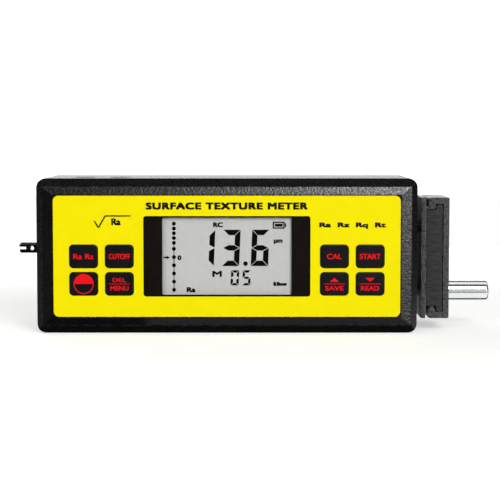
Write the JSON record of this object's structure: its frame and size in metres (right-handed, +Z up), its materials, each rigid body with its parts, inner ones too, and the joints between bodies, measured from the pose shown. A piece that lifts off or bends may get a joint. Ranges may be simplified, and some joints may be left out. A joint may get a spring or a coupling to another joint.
{
  "type": "surface roughness tester",
  "caption": "Portable surface roughness tester: boxy keypad case with a display window, and a sliding bracket on its right end that carries a skidded stylus pickup on a motor-driven traverse.",
  "frame": {"origin": "middle of the case's long bottom side, on the surface that it stands on", "axes": "+X along the case to the pickup, +Y from the panel to the back, +Z up"},
  "size_m": [0.1782, 0.048, 0.057],
  "materials": {
    "case_plastic": "fine spark-eroded grain",
    "panel_film": "satin printed film",
    "window_clear": "clear acrylic",
    "mask_ink": "black print",
    "lcd": "grey display glass",
    "light_guide": "white moulding",
    "key_plastic": "satin",
    "socket_plastic": "moulded",
    "board": "solder mask",
    "battery_sleeve": "shrink sleeve",
    "rubber": "moulded rubber",
    "aluminium": "milled",
    "brass": "turned",
    "screw_steel": "zinc plated",
    "black_steel": "black oxide",
    "polished_steel": "ground and polished",
    "bracket_grey": "bead-blasted black anodising",
    "rail_black": "black anodising",
    "diamond": "ground cone"
  },
  "bodies": {
    "case": {"front_shell": "case_plastic", "rear_shell": "case_plastic", "case_screws": "screw_steel", "rubber_feet": "rubber", "panel_overlay": "panel_film", "display_window": "window_clear", "window_mask": "mask_ink", "lcd_glass": "lcd", "lcd_backlight": "light_guide", "lcd_frame": "light_guide", "key_switches": "socket_plastic", "main_board": "board", "board_screws": "screw_steel", "board_chips": "socket_plastic", "charge_socket": "socket_plastic", "data_socket": "socket_plastic", "battery_pack": "battery_sleeve", "strap_post": "black_steel", "strap_nut": "screw_steel", "drive_chassis": "aluminium", "chassis_screws": "screw_steel", "drive_motor": "screw_steel", "motor_gearbox": "screw_steel", "screw_bearing_inner": "polished_steel", "screw_bearing_outer": "polished_steel", "bush_upper_inner": "brass", "bush_upper_outer": "brass", "bush_lower_inner": "brass", "bush_lower_outer": "brass", "rod_seal_upper": "rubber", "rod_seal_lower": "rubber", "position_sensors": "socket_plastic"},
    "parameter_key": {"key_parameter": "key_plastic"},
    "cutoff_key": {"key_cutoff": "key_plastic"},
    "power_key": {"key_power": "key_plastic"},
    "menu_key": {"key_menu": "key_plastic"},
    "calibrate_key": {"key_calibrate": "key_plastic"},
    "start_key": {"key_start": "key_plastic"},
    "up_key": {"key_up": "key_plastic"},
    "down_key": {"key_down": "key_plastic"},
    "carriage": {"traverse_yoke": "aluminium", "drive_nut": "brass", "guide_rod_upper": "polished_steel", "guide_rod_lower": "polished_steel", "carriage_plate": "bracket_grey", "slide_rail": "rail_black", "rail_screws": "black_steel"},
    "screw": {"motor_shaft": "polished_steel", "shaft_coupling": "brass", "lead_screw": "polished_steel"},
    "slide": {"height_slide": "bracket_grey", "slide_lock_screws": "black_steel", "pickup_tube": "polished_steel", "pickup_nose": "polished_steel", "pickup_skid": "polished_steel", "pickup_coils": "brass", "stylus_pivot": "polished_steel"},
    "stylus": {"stylus_arm": "polished_steel", "stylus_tip": "diamond"}
  },
  "joints": [
    {"name": "press_parameter", "type": "slide", "parent": "case", "child": "parameter_key", "axis": [0, 1, 0], "range_m": [0, 0.0005], "stiffness_N_per_m": 1500},
    {"name": "press_cutoff", "type": "slide", "parent": "case", "child": "cutoff_key", "axis": [0, 1, 0], "range_m": [0, 0.0005], "stiffness_N_per_m": 1500},
    {"name": "press_power", "type": "slide", "parent": "case", "child": "power_key", "axis": [0, 1, 0], "range_m": [0, 0.0005], "stiffness_N_per_m": 1500},
    {"name": "press_menu", "type": "slide", "parent": "case", "child": "menu_key", "axis": [0, 1, 0], "range_m": [0, 0.0005], "stiffness_N_per_m": 1500},
    {"name": "press_calibrate", "type": "slide", "parent": "case", "child": "calibrate_key", "axis": [0, 1, 0], "range_m": [0, 0.0005], "stiffness_N_per_m": 1500},
    {"name": "press_start", "type": "slide", "parent": "case", "child": "start_key", "axis": [0, 1, 0], "range_m": [0, 0.0005], "stiffness_N_per_m": 1500},
    {"name": "press_up", "type": "slide", "parent": "case", "child": "up_key", "axis": [0, 1, 0], "range_m": [0, 0.0005], "stiffness_N_per_m": 1500},
    {"name": "press_down", "type": "slide", "parent": "case", "child": "down_key", "axis": [0, 1, 0], "range_m": [0, 0.0005], "stiffness_N_per_m": 1500},
    {"name": "traverse", "type": "slide", "parent": "case", "child": "carriage", "axis": [1, 0, 0], "range_m": [0, 0.0175]},
    {"name": "screw_spin", "type": "hinge", "parent": "case", "child": "screw", "pos_m": [0.045, 0.006, 0.027], "axis": [1, 0, 0], "range_deg": [0, 3150]},
    {"name": "height_adjust", "type": "slide", "parent": "carriage", "child": "slide", "axis": [0, 1, 0], "range_m": [0, 0.01]},
    {"name": "stylus_swing", "type": "hinge", "parent": "slide", "child": "stylus", "pos_m": [0.0889, 0.0005, 0.0137], "axis": [0, 0, -1], "range_deg": [0, 4], "stiffness_Nm_per_rad": 0.0002, "springref_deg": -20.05}
  ],
  "couplings": [
    {"joint": "screw_spin", "follows": "traverse", "rad_per_m": 3141.6}
  ]
}
